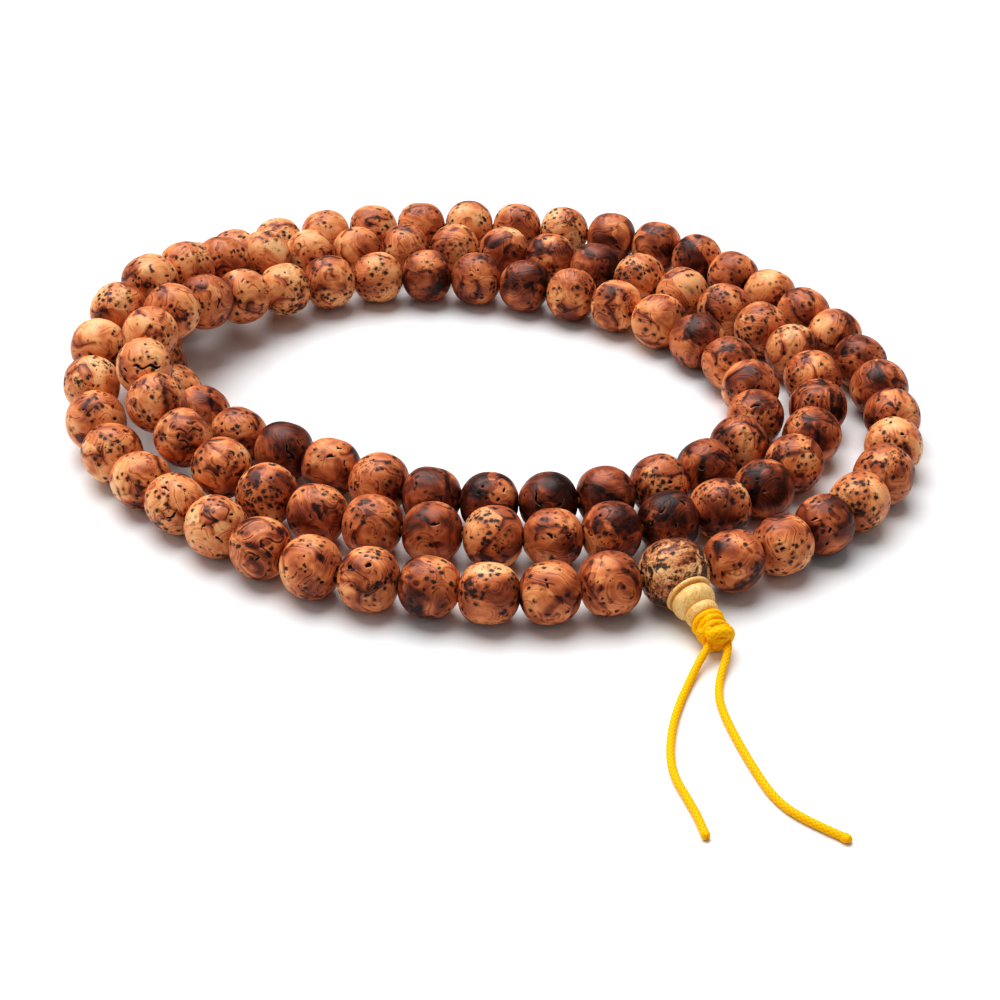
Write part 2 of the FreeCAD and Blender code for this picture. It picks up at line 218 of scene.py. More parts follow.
def grid_mesh(name, points, closed_along=False):
    """A mesh piece from rings of points, (rings, segments, 3) in millimetres, closed round each ring."""
    rings, around = points.shape[:2]
    rows = rings if closed_along else rings - 1
    i, j = np.meshgrid(np.arange(rows), np.arange(around), indexing="ij")
    up, on = (i + 1) % rings, (j + 1) % around
    quads = np.stack([i * around + j, i * around + on, up * around + on, up * around + j], -1).reshape(-1, 4)
    mesh = bpy.data.meshes.new(name)
    mesh.vertices.add(rings * around)
    mesh.vertices.foreach_set("co", (points * MM).astype(np.float32).ravel())
    mesh.loops.add(quads.size)
    mesh.loops.foreach_set("vertex_index", quads.astype(np.int32).ravel())
    mesh.polygons.add(len(quads))
    mesh.polygons.foreach_set("loop_start", np.arange(0, quads.size, 4, dtype=np.int32))
    mesh.update(calc_edges=True)
    mesh.validate()
    mesh.polygons.foreach_set("use_smooth", np.ones(len(quads), bool))
    piece = bpy.data.objects.new(name, mesh)
    bpy.context.scene.collection.objects.link(piece)
    return piece


def note(piece, name, values):
    """Stores a value, a vector or a colour for every point of the mesh, for its material to read."""
    values = np.asarray(values, np.float32)
    wide = values.shape[-1] if values.ndim > 1 else 1
    kind, key = {1: ("FLOAT", "value"), 3: ("FLOAT_VECTOR", "vector"), 4: ("FLOAT_COLOR", "color")}[wide]
    piece.data.attributes.new(name, kind, "POINT").data.foreach_set(key, values.ravel())


def finish_piece(piece, body, nodes, material):
    piece.data.materials.append(material)
    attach(piece, body)
    if nodes:
        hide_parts(*nodes)
    return piece


# ---------------------------------------------------------------- material nodes


def new_material(name):
    material = bpy.data.materials.new(name)
    material.use_nodes = True
    tree = material.node_tree
    return material, tree, tree.nodes["Principled BSDF"]


def connect(tree, socket, value):
    if isinstance(value, bpy.types.NodeSocket):
        tree.links.new(value, socket)
    elif isinstance(value, tuple) and len(value) == 3 and socket.type == "RGBA":
        socket.default_value = (*value, 1)
    else:
        socket.default_value = value


def sums(tree, operation, a, b=0.0, c=0.0):
    node = tree.nodes.new("ShaderNodeMath")
    node.operation = operation
    for socket, value in zip(node.inputs, (a, b, c)):
        connect(tree, socket, value)
    return node.outputs[0]


def vectors(tree, operation, a, b=(0, 0, 0), scale=1.0):
    node = tree.nodes.new("ShaderNodeVectorMath")
    node.operation = operation
    connect(tree, node.inputs[0], a)
    connect(tree, node.inputs[1], b)
    if operation == "SCALE":
        node.inputs["Scale"].default_value = scale
    return node.outputs[0]


def stored(tree, name):
    node = tree.nodes.new("ShaderNodeAttribute")
    node.attribute_name = name
    return node.outputs


def apart(tree, colour):
    node = tree.nodes.new("ShaderNodeSeparateColor")
    connect(tree, node.inputs[0], colour)
    return node.outputs


def noise_of(tree, place, scale, detail=2.0, rough=0.5, twist=0.0):
    node = tree.nodes.new("ShaderNodeTexNoise")
    connect(tree, node.inputs["Vector"], place)
    node.inputs["Scale"].default_value = scale
    node.inputs["Detail"].default_value = detail
    node.inputs["Roughness"].default_value = rough
    node.inputs["Distortion"].default_value = twist
    return node.outputs


def cells_of(tree, place, scale, feature="F1"):
    node = tree.nodes.new("ShaderNodeTexVoronoi")
    node.feature = feature
    connect(tree, node.inputs["Vector"], place)
    node.inputs["Scale"].default_value = scale
    return node.outputs


def step(tree, value, low, high, to_low=0.0, to_high=1.0):
    """A smooth step: to_low below low, to_high above high."""
    node = tree.nodes.new("ShaderNodeMapRange")
    node.interpolation_type = "SMOOTHSTEP"
    for socket, item in zip(node.inputs, (value, low, high, to_low, to_high)):
        connect(tree, socket, item)
    return node.outputs[0]


def blend_of(tree, share, a, b):
    node = tree.nodes.new("ShaderNodeMix")
    node.data_type = "RGBA"
    connect(tree, node.inputs["Factor"], share)
    connect(tree, node.inputs[6], a)
    connect(tree, node.inputs[7], b)
    return node.outputs[2]


def ramp_of(tree, value, stops):
    node = tree.nodes.new("ShaderNodeValToRGB")
    connect(tree, node.inputs[0], value)
    ramp = node.color_ramp
    while len(ramp.elements) < len(stops):
        ramp.elements.new(0.5)
    for element, (place, colour) in zip(ramp.elements, stops):
        element.position = place
        element.color = (*colour, 1)
    return node.outputs[0]


def bump_of(tree, height, strength, reach):
    node = tree.nodes.new("ShaderNodeBump")
    node.inputs["Strength"].default_value = strength
    node.inputs["Distance"].default_value = reach
    connect(tree, node.inputs["Height"], height)
    return node.outputs[0]


# ---------------------------------------------------------------- materials


SEED_COLOURS = [
    (0.00, (0.010, 0.003, 0.002)),
    (0.16, (0.055, 0.012, 0.007)),
    (0.32, (0.200, 0.040, 0.017)),
    (0.48, (0.450, 0.115, 0.042)),
    (0.64, (0.715, 0.228, 0.083)),
    (0.80, (0.910, 0.390, 0.155)),
    (1.00, (0.970, 0.570, 0.280)),
]
GURU_COLOURS = [
    (0.00, (0.014, 0.005, 0.004)),
    (0.22, (0.060, 0.016, 0.010)),
    (0.40, (0.250, 0.065, 0.025)),
    (0.58, (0.600, 0.230, 0.090)),
    (0.78, (0.850, 0.430, 0.190)),
    (1.00, (0.980, 0.640, 0.340)),
]


def seed_material(name, colours, mottle):
    """A polished seed: patches of swirled layers with fine seams, clouds, dots, holes and cracks.

    seed_place is the place in the bead in millimetres with its own offset, bead_look its lightness,
    clouding, share of dots and layers, and the hole mask how much of a hole, whose black inside is
    painted shade, a pale rim and the bore is here.
    """
    material, tree, shader = new_material(name)
    place = stored(tree, "seed_place")["Vector"]
    look = stored(tree, "bead_look")
    light, cloudy, dotted = apart(tree, look["Color"])[:3]
    layered = look["Alpha"]
    hollow, rim, bore = apart(tree, stored(tree, "hole_shade_rim_bore")["Color"])[:3]

    # Layers bend round the middles of a few patches, with a seam where two patches meet.
    swirl = vectors(tree, "SUBTRACT", noise_of(tree, place, 0.16, 1, 0.4)["Color"], (0.5, 0.5, 0.5))
    bent = vectors(tree, "ADD", place, vectors(tree, "SCALE", swirl, scale=7.0))
    patch = cells_of(tree, bent, 0.15)
    patch_light = apart(tree, patch["Color"])[0]
    wobble = noise_of(tree, place, 0.34, 2, 0.35)["Fac"]
    phase = sums(tree, "MULTIPLY_ADD", patch["Distance"], 30.0, sums(tree, "MULTIPLY", wobble, 8.0))
    layers = sums(tree, "SINE", phase)
    line_here = step(tree, noise_of(tree, place, 0.45, 1)["Fac"], 0.42, 0.56)
    lines = sums(tree, "MULTIPLY", step(tree, layers, 0.80, 0.99), sums(tree, "MULTIPLY", line_here, layered))
    fine = sums(tree, "SINE", sums(tree, "MULTIPLY_ADD", patch["Distance"], 95.0, phase))
    seam_gap = cells_of(tree, bent, 0.15, "DISTANCE_TO_EDGE")["Distance"]
    seam_here = step(tree, noise_of(tree, place, 0.33, 1)["Fac"], 0.50, 0.58)
    seam_wide = sums(tree, "MULTIPLY", wobble, 0.022)
    seam = sums(tree, "MULTIPLY", step(tree, seam_gap, seam_wide, 0.002, 0.0, 0.9), seam_here)
    seam_shade = sums(tree, "MULTIPLY", step(tree, seam_gap, 0.13, 0.0, 0.0, 0.30), seam_here)

    # Lightness: the bead's own, its patch's, broad clouds, layers and a fine grain.
    broad = noise_of(tree, place, 0.19, 2, 0.5, 0.4)["Fac"]
    grain = noise_of(tree, bent, 2.6, 3, 0.6)["Fac"]
    tone = sums(tree, "ADD", light, 0.50)
    tone = sums(tree, "MULTIPLY_ADD", sums(tree, "SUBTRACT", patch_light, 0.5), 0.30, tone)
    tone = sums(tree, "MULTIPLY_ADD", sums(tree, "SUBTRACT", broad, 0.5), 1.25, tone)
    tone = sums(tree, "MULTIPLY_ADD", sums(tree, "MULTIPLY", layers, layered), 0.075, tone)
    tone = sums(tree, "MULTIPLY_ADD", sums(tree, "MULTIPLY", fine, layered), 0.025, tone)
    tone = sums(tree, "MULTIPLY_ADD", sums(tree, "SUBTRACT", grain, 0.5), 0.10, tone)
    tone = sums(tree, "MULTIPLY_ADD", lines, -0.30, tone)
    tone = sums(tree, "SUBTRACT", tone, seam_shade)
    if mottle:
        blotch = noise_of(tree, place, 1.5, 5, 0.72, 0.7)["Fac"]
        tone = sums(tree, "MULTIPLY_ADD", sums(tree, "SUBTRACT", blotch, 0.5), mottle, tone)
    base = ramp_of(tree, tone, colours)

    # Clouds of near-black stain, more of them on a darker bead.
    stain = noise_of(tree, bent, 0.42, 3, 0.5, 0.6)["Fac"]
    stain = sums(tree, "MULTIPLY_ADD", cloudy, 0.22, stain)
    stain = step(tree, stain, 0.60, 0.92, 0.0, 0.68)
    base = blend_of(tree, stain, base, (0.070, 0.014, 0.007))

    # Dots of about half a millimetre in loose clusters, and finer ones between them.
    shaken = vectors(tree, "SUBTRACT", noise_of(tree, place, 1.7, 2)["Color"], (0.5, 0.5, 0.5))
    shaken = vectors(tree, "ADD", place, vectors(tree, "SCALE", shaken, scale=0.65))
    cluster = step(tree, noise_of(tree, place, 0.24, 2)["Fac"], 0.36, 0.62, 0.35, 1.35)
    share = sums(tree, "MULTIPLY", dotted, cluster)
    dot = cells_of(tree, shaken, 1.05)
    # A cell holds a dot if its chance is under the share, and the dot is larger the further under.
    room = sums(tree, "SUBTRACT", share, apart(tree, dot["Color"])[1])
    size = step(tree, room, -0.10, 0.45, 0.0, 0.40)
    gap = sums(tree, "SUBTRACT", size, dot["Distance"])
    dots = step(tree, gap, 0.0, 0.09, 0.0, 0.92)
    halo = sums(tree, "MULTIPLY", step(tree, gap, -0.28, 0.03, 0.0, 0.55), step(tree, room, 0.0, 0.1))
    small = cells_of(tree, shaken, 2.4)
    small_room = sums(tree, "SUBTRACT", sums(tree, "MULTIPLY", share, 0.6), apart(tree, small["Color"])[2])
    small_size = step(tree, small_room, 0.0, 0.4, 0.0, 0.40)
    specks = step(tree, sums(tree, "SUBTRACT", small_size, small["Distance"]), 0.0, 0.10, 0.0, 0.85)
    base = blend_of(tree, halo, base, (0.110, 0.024, 0.010))
    base = blend_of(tree, sums(tree, "MAXIMUM", dots, specks), base, (0.016, 0.010, 0.010))
    base = blend_of(tree, seam, base, (0.020, 0.007, 0.005))

    # The insides of holes and cracks are painted black as painted shade; round them is a torn, paler rim.
    torn = noise_of(tree, place, 3.2, 4, 0.65)["Fac"]
    rim_here = sums(tree, "MULTIPLY", rim, step(tree, torn, 0.42, 0.62))
    base = blend_of(tree, sums(tree, "MULTIPLY", rim_here, 0.6), base, (0.500, 0.230, 0.100))
    depth = step(tree, sums(tree, "MULTIPLY_ADD", sums(tree, "SUBTRACT", torn, 0.5), 0.5, hollow), 0.22, 0.50)
    # painted shade: black inside holes and cracks
    base = blend_of(tree, depth, base, (0.012, 0.006, 0.004))
    base = blend_of(tree, bore, base, (0.200, 0.090, 0.040))
    if mottle:
        # The guru bead has charcoal patches of skin left, with pale chips in them.
        skin = noise_of(tree, bent, 0.30, 5, 0.70, 0.6)["Fac"]
        skin = step(tree, skin, 0.52, 0.575)
        base = blend_of(tree, sums(tree, "MULTIPLY", skin, 0.93), base, (0.018, 0.010, 0.010))
        chips = step(tree, noise_of(tree, place, 4.2, 3, 0.6)["Fac"], 0.60, 0.68)
        base = blend_of(tree, sums(tree, "MULTIPLY", chips, skin), base, (0.50, 0.30, 0.18))
    connect(tree, shader.inputs["Base Color"], base)

    rough = sums(tree, "MULTIPLY_ADD", grain, 0.16, 0.28)
    rough = sums(tree, "MULTIPLY_ADD", dots, 0.16, rough)
    rough = sums(tree, "MAXIMUM", rough, sums(tree, "MULTIPLY", depth, 0.9))
    connect(tree, shader.inputs["Roughness"], rough)
    shader.inputs["Specular IOR Level"].default_value = 0.24

    low = sums(tree, "MAXIMUM", dots, seam)
    height = sums(tree, "MULTIPLY_ADD", low, -0.6, sums(tree, "MULTIPLY", grain, 0.5))
    height = sums(tree, "MULTIPLY_ADD", depth, -1.2, height)
    height = sums(tree, "MULTIPLY_ADD", noise_of(tree, place, 9.0, 2)["Fac"], 0.16, height)
    connect(tree, shader.inputs["Normal"], bump_of(tree, height, 0.5, 0.00008))
    return material


def boxwood_material():
    """Turned pale wood: fine lines along the grain, faint growth bands and tool marks round it, with painted
    shade darkening its grooves and bore.
    """
    material, tree, shader = new_material("boxwood")
    place = stored(tree, "wood_place")["Vector"]
    groove_shade = stored(tree, "wood_groove_shade")["Fac"]
    along = vectors(tree, "MULTIPLY", place, (3.2, 3.2, 0.55))
    fibres = noise_of(tree, along, 1.6, 4, 0.65)["Fac"]
    rings = noise_of(tree, vectors(tree, "MULTIPLY", place, (0.9, 0.25, 0.2)), 1.0, 3, 0.6, 0.6)["Fac"]
    flecks = noise_of(tree, vectors(tree, "MULTIPLY", place, (6.0, 6.0, 1.2)), 1.4, 2, 0.5)["Fac"]
    tone = sums(tree, "MULTIPLY_ADD", sums(tree, "SUBTRACT", fibres, 0.5), 1.5, 0.66)
    tone = sums(tree, "MULTIPLY_ADD", sums(tree, "SUBTRACT", rings, 0.5), 0.7, tone)
    # painted shade: darker in the grooves and in the bore
    tone = sums(tree, "SUBTRACT", tone, sums(tree, "MULTIPLY", groove_shade, 0.32))
    stops = [
        (0.0, (0.45, 0.140, 0.020)),
        (0.3, (0.74, 0.33, 0.070)),
        (0.6, (0.93, 0.56, 0.170)),
        (1.0, (1.00, 0.80, 0.410)),
    ]
    base = ramp_of(tree, tone, stops)
    base = blend_of(tree, step(tree, flecks, 0.56, 0.68, 0.0, 0.55), base, (0.50, 0.21, 0.05))
    connect(tree, shader.inputs["Base Color"], base)
    connect(tree, shader.inputs["Roughness"], sums(tree, "MULTIPLY_ADD", fibres, 0.2, 0.34))
    shader.inputs["Specular IOR Level"].default_value = 0.45
    height = sums(tree, "MULTIPLY_ADD", flecks, 0.5, fibres)
    connect(tree, shader.inputs["Normal"], bump_of(tree, height, 0.35, 0.00006))
    return material


def cord_material():
    """Saffron nylon braid: bright on the crowns of the strands, and deep orange between them as painted
    shade.
    """
    material, tree, shader = new_material("saffron_cord")
    braid = stored(tree, "braid")["Fac"]
    place = stored(tree, "cord_place")["Vector"]
    fibres = noise_of(tree, vectors(tree, "MULTIPLY", place, (14.0, 14.0, 5.0)), 1.0, 2)["Fac"]
    # the braid's height sets the colour: the deep orange low between the strands is painted shade
    tone = sums(tree, "MULTIPLY_ADD", sums(tree, "SUBTRACT", fibres, 0.5), 0.25, braid)
    stops = [
        (0.0, (0.72, 0.130, 0.000)),
        (0.35, (0.98, 0.350, 0.000)),
        (0.7, (1.00, 0.520, 0.000)),
        (1.0, (1.00, 0.620, 0.000)),
    ]
    connect(tree, shader.inputs["Base Color"], ramp_of(tree, tone, stops))
    connect(tree, shader.inputs["Roughness"], sums(tree, "MULTIPLY_ADD", fibres, 0.2, 0.42))
    shader.inputs["Specular IOR Level"].default_value = 0.10
    connect(tree, shader.inputs["Normal"], bump_of(tree, fibres, 0.25, 0.00004))
    return material


def shaded_thread_material():
    """The same cord where it runs through the beads, its braid drawn from the place alone, painted deep
    orange to brown as painted shade between the beads.
    """
    material, tree, shader = new_material("threaded_cord_shaded")
    node = tree.nodes.new("ShaderNodeTexCoord")
    braid = cells_of(tree, node.outputs["Object"], 2600.0)["Distance"]
    # darker than the tails: painted shade of the cord between the beads
    stops = [(0.0, (0.70, 0.30, 0.002)), (0.6, (0.50, 0.16, 0.002)), (1.0, (0.25, 0.06, 0.0))]
    connect(tree, shader.inputs["Base Color"], ramp_of(tree, braid, stops))
    shader.inputs["Roughness"].default_value = 0.5
    connect(tree, shader.inputs["Normal"], bump_of(tree, sums(tree, "SUBTRACT", 1.0, braid), 0.4, 0.0001))
    return material


def floor_material():
    material, tree, shader = new_material("white_surface")
    place = tree.nodes.new("ShaderNodeTexCoord").outputs["Object"]
    cloud = noise_of(tree, place, 9.0, 3, 0.5)["Fac"]
    stops = [(0.3, (0.87, 0.885, 0.90)), (0.7, (0.89, 0.90, 0.91))]
    connect(tree, shader.inputs["Base Color"], ramp_of(tree, cloud, stops))
    shader.inputs["Roughness"].default_value = 0.42
    shader.inputs["Specular IOR Level"].default_value = 0.35
    return material


# ---------------------------------------------------------------- cords


def spline_points(points):
    """Points along a smooth NURBS line whose control points are given, in millimetres."""
    data = bpy.data.curves.new("route", "CURVE")
    data.dimensions = "3D"
    data.resolution_u = 24
    spline = data.splines.new("NURBS")
    spline.points.add(len(points) - 1)
    for control, point in zip(spline.points, points):
        control.co = (*(Vector(point) * MM), 1)
    spline.order_u = 3
    spline.use_endpoint_u = True
    holder = bpy.data.objects.new("route", data)
    mesh = bpy.data.meshes.new_from_object(holder)
    line = np.array([v.co for v in mesh.vertices], float).reshape(-1, 3) / MM
    bpy.data.objects.remove(holder)
    bpy.data.meshes.remove(mesh)
    bpy.data.curves.remove(data)
    return line


def evenly(line, gap):
    """The same line with points the same distance apart, and each one's distance from the start."""
    run = np.concatenate([[0], np.cumsum(np.linalg.norm(np.diff(line, axis=0), axis=1))])
    at = np.linspace(0, run[-1], max(2, round(run[-1] / gap) + 1))
    return np.stack([np.interp(at, run, line[:, k]) for k in range(3)], axis=1), at


def frames_along(line):
    """Two crosswise directions at each point, carried along the line without twisting."""
    ahead = np.gradient(line, axis=0)
    ahead /= np.linalg.norm(ahead, axis=1)[:, None]
    side = np.cross(ahead[0], (0, 0, 1))
    if np.linalg.norm(side) < 1e-3:
        side = np.array((1.0, 0, 0))
    sides = []
    for direction in ahead:
        side = side - direction * (side @ direction)
        side = side / np.linalg.norm(side)
        sides.append(side)
    sides = np.array(sides)
    return sides, np.cross(ahead, sides), ahead


def braid_height(angle, run):
    """How high the braid stands here, 0 between strands to 1 on a crown."""
    turns = angle / (2 * math.pi) * BRAID_CARRIERS
    left, right = turns + run / BRAID_PITCH, turns - run / BRAID_PITCH
    over = (np.floor(left) + np.floor(right)) % 2 < 1
    a, b = 2 * (left % 1) - 1, 2 * (right % 1) - 1
    top, under = np.where(over, a, b), np.where(over, b, a)
    return np.sqrt(np.clip(1 - top ** 2, 0, 1)) * (1 - 0.45 * under ** 2)


def braided_tube(name, line, radius, around=48, gap=0.075):
    """A braided cord along the line, with a rounded end at each side."""
    line, run = evenly(line, gap)
    sides, ups, ahead = frames_along(line)
    angle = np.linspace(0, 2 * math.pi, around, endpoint=False)
    bulk = braid_height(angle[None, :], run[:, None])
    wide = (radius + BRAID_DEPTH * (bulk - 0.72))[:, :, None]
    ring = sides[:, None] * np.cos(angle)[None, :, None] + ups[:, None] * np.sin(angle)[None, :, None]
    body = line[:, None] + ring * wide
    spots = np.broadcast_to(run[:, None], bulk.shape)
    spots = np.stack([np.cos(angle) * radius + 0 * spots, np.sin(angle) * radius + 0 * spots, spots], -1)
    caps = [(0.80, 0.30), (0.45, 0.48), (0.03, 0.54)]
    first = [line[0] + (body[0] - line[0]) * share - ahead[0] * out * radius for share, out in caps]
    last = [line[-1] + (body[-1] - line[-1]) * share + ahead[-1] * out * radius for share, out in caps]
    more = len(caps)
    points = np.concatenate([first[::-1], body, last])
    bulk = np.concatenate([bulk[:1].repeat(more, 0), bulk, bulk[-1:].repeat(more, 0)])
    spots = np.concatenate([spots[:1].repeat(more, 0), spots, spots[-1:].repeat(more, 0)])
    piece = grid_mesh(name, points)
    note(piece, "braid", bulk.ravel())
    note(piece, "cord_place", spots.reshape(-1, 3))
    return piece, line


def laid(points):
    return [(x + LAY_X, y + LAY_Y, z) for x, y, z in points]


def make_tail(node, route, tip, material):
    """A free tail and its melted tip; tip is width, height, length and seed."""
    points = laid(route)
    piece, line = braided_tube(node + "_braid", spline_points(points), CORD_D / 2)
    finish_piece(piece, "strand", [node], material)
    end = melted_tip(node + "_tip", line, *tip, material)


def melted_tip(name, line, wide, tall, long, seed, material):
    """The heat-sealed end of a cord: a smooth, uneven blob of nylon round its last stretch."""
    rng = random.Random(seed)
    ahead = line[-1] - line[-8]
    ahead /= np.linalg.norm(ahead)
    side = np.cross(ahead, (0, 0, 1))
    side /= np.linalg.norm(side)
    up = np.cross(side, ahead)
    rows, around = 22, 36
    angle = np.linspace(0, 2 * math.pi, around, endpoint=False)
    waves = [(rng.randint(1, 4), rng.uniform(0, 6), rng.uniform(0.02, 0.06)) for _ in range(5)]
    points = np.zeros((rows, around, 3))
    for k in range(rows):
        t = k / (rows - 1)
        swell = math.sin(math.pi * (0.01 + 0.98 * t)) ** 0.55
        uneven = 1 + sum(high * np.sin(n * angle + start + 3 * t) for n, start, high in waves)
        across = np.cos(angle) * wide / 2 * swell * uneven
        rise = np.sin(angle) * tall / 2 * swell * uneven
        middle = line[-1] + ahead * (t - 0.75) * long
        points[k] = middle + side * across[:, None] + up * rise[:, None]
    points[:, :, 2] = np.maximum(points[:, :, 2], 0.02)
    piece = grid_mesh(name, points)
    note(piece, "braid", np.full(rows * around, 0.62))
    note(piece, "cord_place", points.reshape(-1, 3) * 0.3)
    return finish_piece(piece, "strand", [], material)


# ---------------------------------------------------------------- where the beads are


def solids_of(node):
    """The points of each separate solid of a CAD node, in millimetres."""
    mesh = frame["nodes"][node].data
    points = np.zeros(len(mesh.vertices) * 3, np.float32)
    mesh.vertices.foreach_get("co", points)
    corners = np.zeros(len(mesh.loops), np.int32)
    mesh.loops.foreach_get("vertex_index", corners)
    points = points.reshape(-1, 3).astype(float) / MM
    _, first, index = np.unique(np.round(points, 3), axis=0, return_index=True, return_inverse=True)
    triangles = index.ravel()[corners.reshape(-1, 3)]
    points = points[first]
    label = np.arange(len(points))
    while True:
        low = label[triangles].min(axis=1)
        fresh = label.copy()
        for k in range(3):
            np.minimum.at(fresh, triangles[:, k], low)
        fresh = fresh[fresh]
        if (fresh == label).all():
            return [points[label == k] for k in np.unique(label)]
        label = fresh


def bead_at(points):
    """A drilled bead's middle, axis, radius and half length, from its points."""
    middle = (points.max(0) + points.min(0)) / 2
    away = np.linalg.norm(points - middle, axis=1)
    rim = points[away < away.min() * 1.04]  # the two ends of the straight bore
    middle = (rim.max(0) + rim.min(0)) / 2
    axis = np.linalg.svd(rim - middle, full_matrices=False)[2][0]
    run = (points - middle) @ axis
    middle = middle + axis * (run.max() + run.min()) / 2
    off = points - middle - ((points - middle) @ axis)[:, None] * axis
    return middle, axis, np.linalg.norm(off, axis=1).max(), (run.max() - run.min()) / 2


def find_beads(guru_middle):
    """Every bead in the order of the strand, from the one to the left of the guru bead."""
    left = []
    for node in frame["nodes"]:
        if node.startswith("bead"):
            left += [(node, *bead_at(points)) for points in solids_of(node)]
    spot, way, reach = guru_middle, np.array(FIRST_WAY), FIRST_REACH
    beads = []
    while left:
        guess = spot + way * reach
        k = min(range(len(left)), key=lambda n: np.linalg.norm(left[n][1] - guess))
        node, spot, axis, radius, half = left.pop(k)
        way = axis if axis @ way > 0 else -axis
        reach = PITCH
        beads.append((node, spot, way, radius, half))
    return beads


# ---------------------------------------------------------------- seeds


def unit(v):
    return v / np.linalg.norm(v)


def view_axes(spot):
    """Right, up and out at a bead's spot, out being towards the camera."""
    out = unit(np.array(CAMERA_PLACE) - spot)
    right = unit(np.array((1.0, 0, 0)) - out * out[0])
    return right, np.cross(out, right), out


def waves_at(rng, points, count, low, high):
    """A smooth random field over the points, from waves between two frequencies per millimetre."""
    total = np.zeros(points.shape[:-1])
    for _ in range(count):
        way = unit(np.array([rng.gauss(0, 1) for _ in range(3)]))
        total += np.sin(points @ way * rng.uniform(low, high) + rng.uniform(0, 6.3))
    return total / math.sqrt(count / 2)


def smooth(value, low, high):
    t = np.clip((value - low) / (high - low), 0, 1)
    return t * t * (3 - 2 * t)


def random_marks(rng, spot, listed):
    """Holes and cracks anywhere on a bead, but not on the side where its listed ones are."""
    out = view_axes(spot)[2]
    marks = []
    for _ in range(rng.randint(3, 6)):
        way = unit(np.array([rng.gauss(0, 1) for _ in range(3)]))
        size, slant, kind = rng.uniform(0.14, 0.26), rng.uniform(0, 3.1), "hole"
        if rng.random() < 0.16:
            size, kind = rng.uniform(0.7, 1.8), "crack"
        if not listed or way @ out < 0.15:
            marks.append((kind, way, slant, size))
    return marks


def listed_marks(number, spot):
    right, up, out = view_axes(spot)
    marks = []
    for bead, kind, x, y, size, slope in MARKS:
        if bead == number:
            way = right * x + up * y + out * math.sqrt(max(0.05, 1 - x * x - y * y))
            marks.append((kind, unit(way), math.radians(slope), size))
    return marks


def carve(points, ways, radius, marks, spot, rng):
    """How deep the holes and cracks go at each point, and how much of one and of a rim is there."""
    right, up, _ = view_axes(spot)
    ragged = waves_at(rng, points, 8, 3.0, 8.0)
    deep, hollow, rim = (np.zeros(points.shape[:-1]) for _ in range(3))
    for kind, way, slope, size in marks:
        near = ways @ way > 0.6
        along = unit(np.cross(np.cross(way, right * math.cos(slope) + up * math.sin(slope)), way))
        across = np.cross(way, along)
        s, n = ways @ along * radius, ways @ across * radius
        if kind == "hole":
            gap = np.hypot(s, n * 1.25) - size * (0.80 + 0.22 * ragged)
            low = 0.85 * size
        else:
            bent = 0.13 * size ** 0.5 * np.sin(2.6 * s + 7 * slope) + 0.05 * ragged
            share = np.clip(1 - (2 * s / size) ** 2, 0, 1)
            wide = (0.05 + 0.08 * size ** 0.6) * np.sqrt(share) * (1 + 0.35 * ragged)
            gap = np.where(share > 0, np.abs(n - bent) - wide, 1.0)
            low = 0.16 + 0.11 * size
        inside = np.where(near, smooth(-gap, -0.09, 0.11), 0)
        hollow = np.maximum(hollow, inside)
        deep = np.maximum(deep, low * inside)
        rim = np.maximum(rim, np.where(near, smooth(0.30 - gap, 0.0, 0.25), 0) * (size > 0.27))
    return deep, hollow, rim * (1 - hollow)


def seed_profile(radius, half, rings, barrel):
    """Radius and height from the lower mouth of the bore over the outside to the upper, then back inside."""
    mouth = BORE_R * MOUTH_R
    tall = half / (1 - (mouth / radius) ** barrel) ** (1 / barrel)
    most = math.acos((mouth / radius) ** (barrel / 2))
    turn = np.linspace(-most, most, rings)
    wide = radius * np.cos(turn) ** (2 / barrel)
    high = tall * np.sign(np.sin(turn)) * np.abs(np.sin(turn)) ** (2 / barrel)
    inner = half - 0.4
    ease = BORE_R * BORE_EASE
    bore = [(ease, half - 0.16), (BORE_R, inner), (BORE_R, inner * 0.5), (BORE_R, 0)]
    bore += [(BORE_R, -inner * 0.5), (BORE_R, -inner), (ease, 0.16 - half)]
    wide = np.concatenate([wide, [r for r, _ in bore]])
    high = np.concatenate([high, [z for _, z in bore]])
    return wide, high, np.arange(len(wide)) >= rings


